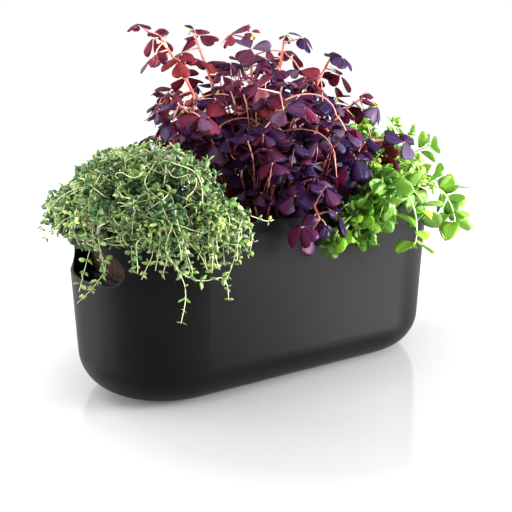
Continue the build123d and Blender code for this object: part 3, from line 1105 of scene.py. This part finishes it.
def root_ball(herb, material):
    """Crumbly soil in place of the smooth CAD block, kept inside it."""
    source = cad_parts[f"{herb}_root_ball"]
    obj = linked(f"{herb}_soil", source.data.copy())
    remesh = obj.modifiers.new("grain", "REMESH")
    remesh.mode = "VOXEL"
    remesh.voxel_size = SOIL_GRAIN * MM
    made = bpy.data.meshes.new_from_object(obj.evaluated_get(bpy.context.evaluated_depsgraph_get()))
    obj.modifiers.clear()
    obj.data = made
    places = [v.co.copy() for v in made.vertices]
    normals = [v.normal.copy() for v in made.vertices]
    for vertex, place, normal in zip(made.vertices, places, normals):
        lump = noise.noise(place / (SOIL_LUMP * MM))
        crumb = noise.noise(place / (SOIL_CRUMB * MM))
        depth = SOIL_DEPTH + LUMP_DEPTH * lump + CRUMB_DEPTH * crumb
        vertex.co = place - normal * max(LEAST_DEPTH, depth) * MM
    made.polygons.foreach_set("use_smooth", [True] * len(made.polygons))
    made.materials.clear()
    made.materials.append(material)
    made.update()
    return obj


def wick(herb, material):
    """Three twisted strands of felt cord in place of the plain CAD cylinder."""
    low, high = (np.array(corner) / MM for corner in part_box(f"{herb}_wick"))
    middle, radius = (low + high) / 2, (high[0] - low[0]) / 2
    around = radius * STRAND_PLACE
    heights = np.linspace(low[2] + WICK_END_GAP, high[2] - WICK_END_GAP, STRAND_STEPS)
    cord = Growth()
    for start in STRAND_STARTS:
        turns = np.radians(start + (heights - low[2]) * STRAND_TWIST)
        x = middle[0] + around * np.cos(turns)
        y = middle[1] + around * np.sin(turns)
        cord.tube(np.column_stack([x, y, heights]), [radius * STRAND_RADIUS] * 2, sides=10, tones=0.5)
    return cord.build(f"{herb}_wick_cord", material)


# Build the pieces

def finish_node(node, material):
    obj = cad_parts[node]
    obj.data.materials.clear()
    obj.data.materials.append(material)


POT_PLASTIC = moulded_plastic(
    "pot_plastic", dark=(0.0024, 0.0024, 0.0026), light=(0.0038, 0.0038, 0.0040),
    roughness=(0.38, 0.44), grain=2600, gleam=0.09,
)
TRAY_PLASTIC = moulded_plastic(
    "tray_plastic", dark=(0.03, 0.03, 0.032), light=(0.04, 0.04, 0.042),
    roughness=(0.5, 0.6), grain=1800, gleam=0.4,
)
GROMMET_RUBBER = moulded_plastic(
    "grommet_rubber", dark=(0.012, 0.012, 0.012), light=(0.02, 0.02, 0.02),
    roughness=(0.7, 0.8), grain=2200, gleam=0.3,
)
# Brown peat with paler fibres and dark crumbs
SOIL_MIX = grainy(
    "potting_mix", scale=420, detail=6,
    colours=[
        (0.36, (0.006, 0.004, 0.003)), (0.5, (0.028, 0.016, 0.009)),
        (0.6, (0.065, 0.038, 0.021)), (0.72, (0.18, 0.12, 0.07)),
    ],
    roughness=0.95, bump=(0.9, 0.0015),
)
SOIL_MIX.shade({"Specular IOR Level": 0.15})
# Off-white felt with fine fibres
FELT = grainy(
    "wick_felt", scale=900, detail=5,
    colours=[(0.3, (0.42, 0.39, 0.33)), (0.7, (0.75, 0.72, 0.66))],
    roughness=0.9, bump=(0.6, 0.0006),
)
FELT.shade({"Sheen Weight": 0.4})
HERB_SKINS = {
    "thyme_leaves": leaf_material(
        "thyme_leaf",
        tones=[
            (0.0, (0.005, 0.022, 0.012)), (0.3, (0.030, 0.100, 0.036)), (0.6, (0.13, 0.27, 0.065)),
            (0.85, (0.34, 0.53, 0.12)), (1.0, (0.60, 0.72, 0.28)),
        ],
        bloom_and_sheen=((0.20, 0.08, 0.12), 0.9, 0.9), under=(0.24, 0.35, 0.20),
        vein=(0.45, 0.55, 0.28), vein_share=0.35, vein_height=0,
        through=(0.40, 0.65, 0.08), through_share=0.22, roughness=0.42, gleam=0.35,
    ),
    "thyme_stems": stem_material(
        "thyme_stem",
        tones=[
            (0.0, (0.03, 0.03, 0.012)), (0.3, (0.34, 0.34, 0.13)),
            (0.6, (0.62, 0.68, 0.28)), (1.0, (0.86, 0.89, 0.54)),
        ],
        roughness=0.5,
    ),
    "oregano_leaves": leaf_material(
        "oregano_leaf",
        tones=[
            (0.0, (0.012, 0.062, 0.014)), (0.3, (0.060, 0.220, 0.018)),
            (0.65, (0.210, 0.470, 0.022)), (1.0, (0.50, 0.74, 0.09)),
        ],
        bloom_and_sheen=((0.56, 0.70, 0.12), 0.72, 0.6), under=(0.24, 0.46, 0.08),
        vein=(0.60, 0.80, 0.28), vein_share=0.5, vein_height=0.0009,
        through=(0.38, 0.76, 0.05), through_share=0.3, roughness=0.34, gleam=0.4,
    ),
    "oregano_stems": stem_material(
        "oregano_stem",
        tones=[(0.0, (0.4, 0.38, 0.15)), (0.5, (0.55, 0.66, 0.24)), (1.0, (0.74, 0.82, 0.45))],
        roughness=0.45,
    ),
    "oxalis_leaves": leaf_material(
        "oxalis_leaf",
        # Navy low tones paint shade and maroon high tones paint backlight, as each leaf's place chooses
        # them
        tones=[
            (0.0, (0.005, 0.005, 0.042)), (0.35, (0.020, 0.009, 0.058)), (0.6, (0.085, 0.010, 0.048)),
            (0.82, (0.175, 0.011, 0.026)), (1.0, (0.28, 0.026, 0.022)),
        ],
        # The oxalis bloom is a painted lilac-grey sheen on some leaves
        bloom_and_sheen=((0.13, 0.11, 0.20), 0.72, 0.75), under=(0.15, 0.03, 0.075),
        vein=(0.24, 0.05, 0.09), vein_share=0.35, vein_height=0.0005,
        through=(0.80, 0.04, 0.05), through_share=0.28, roughness=0.4, gleam=0.16,
    ),
    "oxalis_stems": stem_material(
        "oxalis_stem",
        tones=[(0.0, (0.42, 0.025, 0.04)), (0.5, (0.62, 0.07, 0.07)), (1.0, (0.78, 0.26, 0.18))],
        roughness=0.35,
    ),
    "oxalis_petioles": stem_material(
        "oxalis_petiole",
        tones=[
            (0.0, (0.05, 0.008, 0.02)), (0.3, (0.42, 0.06, 0.08)),
            (0.6, (0.74, 0.32, 0.26)), (1.0, (0.84, 0.62, 0.46)),
        ],
        roughness=0.4,
    ),
    "oxalis_buds": stem_material(
        "oxalis_bud",
        tones=[(0.0, (0.4, 0.46, 0.08)), (0.5, (0.62, 0.62, 0.16)), (1.0, (0.8, 0.76, 0.36))],
        roughness=0.45,
    ),
}

finish_node("outer_pot", POT_PLASTIC)
finish_node("insert_tray", TRAY_PLASTIC)
for herb in CROWNS:
    finish_node(f"{herb}_wick_grommet", GROMMET_RUBBER)
    cord = wick(herb, FELT.material)
    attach(cord, "insert")
    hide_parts(f"{herb}_wick")
    soil = root_ball(herb, SOIL_MIX.material)
    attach(soil, BODIES[herb])
    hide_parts(f"{herb}_root_ball")

# The middle herb lifts out, so its neighbours stay out of its way
ball_low, ball_high = (np.array(corner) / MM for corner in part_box("oxalis_root_ball"))
steps = [np.arange(ball_low[k], ball_high[k] + Room.CELL, Room.CELL) for k in (0, 1)]
room.mark_lifted(np.array([(x, y, SOIL) for x in steps[0] for y in steps[1]]))
for node, tip in zip(SHOOTS["oxalis"], OXALIS_TIPS):
    room.mark_lifted(oxalis_stem(tip))
    for plate in leaf_plates(node, OXALIS_PLATE):
        room.mark_lifted(plate.filled(Room.CELL))

herbs = {"thyme": thyme(np.random.default_rng(11)), "oregano": oregano(np.random.default_rng(23))}
for parts in herbs.values():
    for growth in parts.values():
        room.mark_fixed(np.vstack(growth.points))
herbs["oxalis"] = oxalis(np.random.default_rng(5))

for herb, parts in herbs.items():
    for kind, growth in parts.items():
        obj = growth.build(f"{herb}_{kind}", HERB_SKINS[f"{herb}_{kind}"])
        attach(obj, BODIES[herb])
        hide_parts(*SHOOTS[herb])


# Camera, floor and light

camera_data = bpy.data.cameras.new("camera")
camera_data.lens = CAMERA_LENS
camera_data.sensor_width = CAMERA_SENSOR
camera_data.sensor_fit = "HORIZONTAL"
camera = aimed("camera", camera_data, CAMERA_PLACE, CAMERA_LOOK)
bpy.context.scene.camera = camera

FLOOR_GREY = 0.33
# How much the floor glows, by its distance in metres from a line beside the pot's middle line: little near
# the pot, a painted contact shadow, and almost evenly further out
FLOOR_GLOW_AND_SHADOW = [(0.08, 0.04), (0.16, 0.10), (0.24, 0.40), (1.0, 0.85)]
# The line is moved right and to the front, so that painted light fills the right lamp's shadow on the left
# and the floor stays darker in front
FLOOR_SHADOW_SHIFT = (0.10, -0.07)


def floor_material():
    """A pale, glossy floor that is darker near the pot: a painted contact shadow."""
    skin = Skin("floor")
    place = skin.add("SeparateXYZ", {"Vector": skin.add("TexCoord", {})["Object"]})
    side = skin.math("ABSOLUTE", skin.math("SUBTRACT", place["X"], FLOOR_SHADOW_SHIFT[0]))
    past_end = skin.math("MAXIMUM", skin.math("SUBTRACT", side, END_CENTRE * MM), 0)
    depth = skin.math("SUBTRACT", place["Y"], FLOOR_SHADOW_SHIFT[1])
    out = skin.add("CombineXYZ", {"X": past_end, "Y": depth})
    reach = skin.add("VectorMath", {0: out["Vector"]}, operation="LENGTH")
    # Painted shadow: the glow falls off near the pot
    glow = skin.ramp(reach["Value"], [(far, (level,) * 3) for far, level in FLOOR_GLOW_AND_SHADOW])
    skin.shade({"Base Color": (FLOOR_GREY, FLOOR_GREY, FLOOR_GREY, 1), "Roughness": 0.12})
    skin.shade({"Emission Color": (*WHITE, 1), "Emission Strength": glow})
    return skin.material


bpy.ops.mesh.primitive_plane_add(size=16, location=(0, 0, 0))
floor = bpy.context.object
floor.name = "floor"
floor.data.materials.append(floor_material())


def soft_light(name, place, target, size, power):
    """A soft studio light, in metres and watts."""
    data = bpy.data.lights.new(name, "AREA")
    data.shape = "RECTANGLE"
    data.size, data.size_y = size
    data.energy = power
    lamp = aimed(name, data, place, Vector(target) - Vector(place))
    lamp.visible_camera = False


soft_light("key", place=(0.12, -0.7, 1.3), target=(0, 0, 0.15), size=(1.2, 1.2), power=24)
soft_light("right", place=(0.6, -0.6, 0.26), target=(0.1, 0, 0.15), size=(0.4, 0.3), power=26)
soft_light("left", place=(-1.05, 0.4, 0.3), target=(0, 0, 0.1), size=(0.9, 0.5), power=18)
soft_light("back", place=(-0.7, 0.95, 0.95), target=(-0.05, 0, 0.15), size=(0.9, 0.9), power=18)
soft_light("backdrop", place=(0.8, 1.5, 0.75), target=(0, 0, 0.1), size=(3.0, 1.4), power=12)

# A white surround, which lights the part less brightly than it looks
SURROUND_LIGHT, SURROUND_SEEN = 0.3, 1.0
world = bpy.data.worlds.new("studio")
bpy.context.scene.world = world
world.use_nodes = True
sky = world.node_tree.nodes["Background"]
rays = world.node_tree.nodes.new("ShaderNodeLightPath")
level = world.node_tree.nodes.new("ShaderNodeMapRange")
level.inputs["To Min"].default_value = SURROUND_LIGHT
level.inputs["To Max"].default_value = SURROUND_SEEN
world.node_tree.links.new(rays.outputs["Is Camera Ray"], level.inputs["Value"])
world.node_tree.links.new(level.outputs["Result"], sky.inputs["Strength"])
sky.inputs["Color"].default_value = (*WHITE, 1)
bpy.context.scene.view_settings.view_transform = "Standard"
